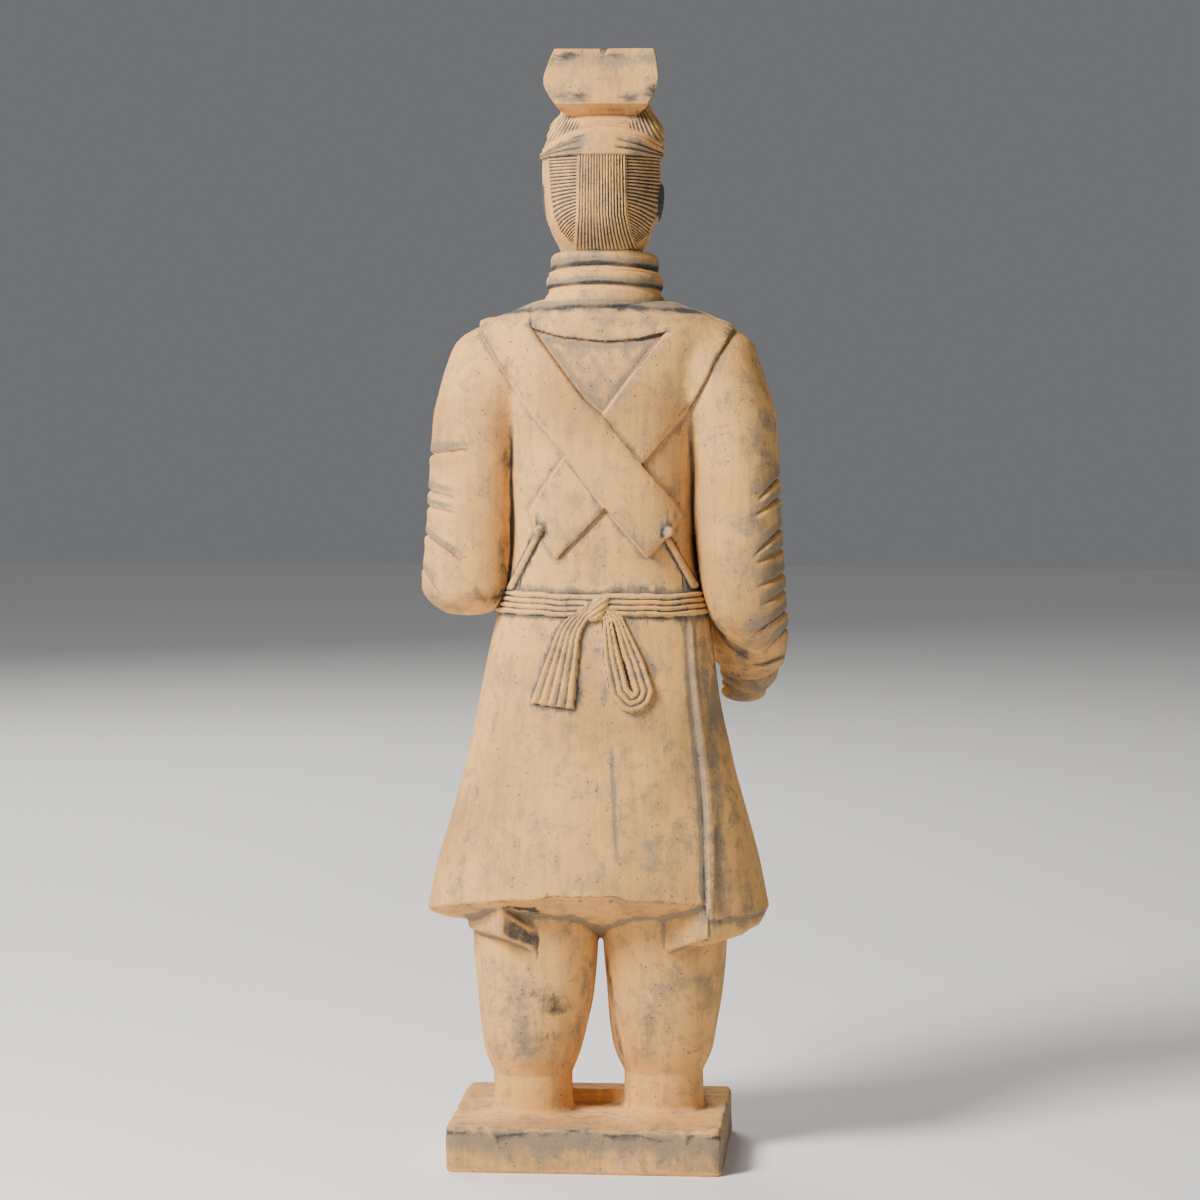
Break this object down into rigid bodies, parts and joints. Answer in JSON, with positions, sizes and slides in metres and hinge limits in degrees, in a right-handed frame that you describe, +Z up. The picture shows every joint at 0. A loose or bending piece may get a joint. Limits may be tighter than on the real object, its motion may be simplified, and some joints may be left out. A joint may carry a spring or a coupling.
{
  "type": "terracotta warrior statue",
  "caption": "Standing officer figure in fired clay on a rectangular plinth, with long cap, wrapped robe, crossed back straps and a tied sash.",
  "frame": {"origin": "centre of the plinth's underside", "axes": "+Z up along the figure; the figure faces -Y, its left side is on +X"},
  "size_m": [0.1999, 0.1355, 0.6035],
  "materials": {
    "terracotta": "matt fired clay with a tan slip and a blue-grey wash in the carving"
  },
  "bodies": {
    "root": {"terracotta_warrior": "terracotta"}
  },
  "joints": []
}
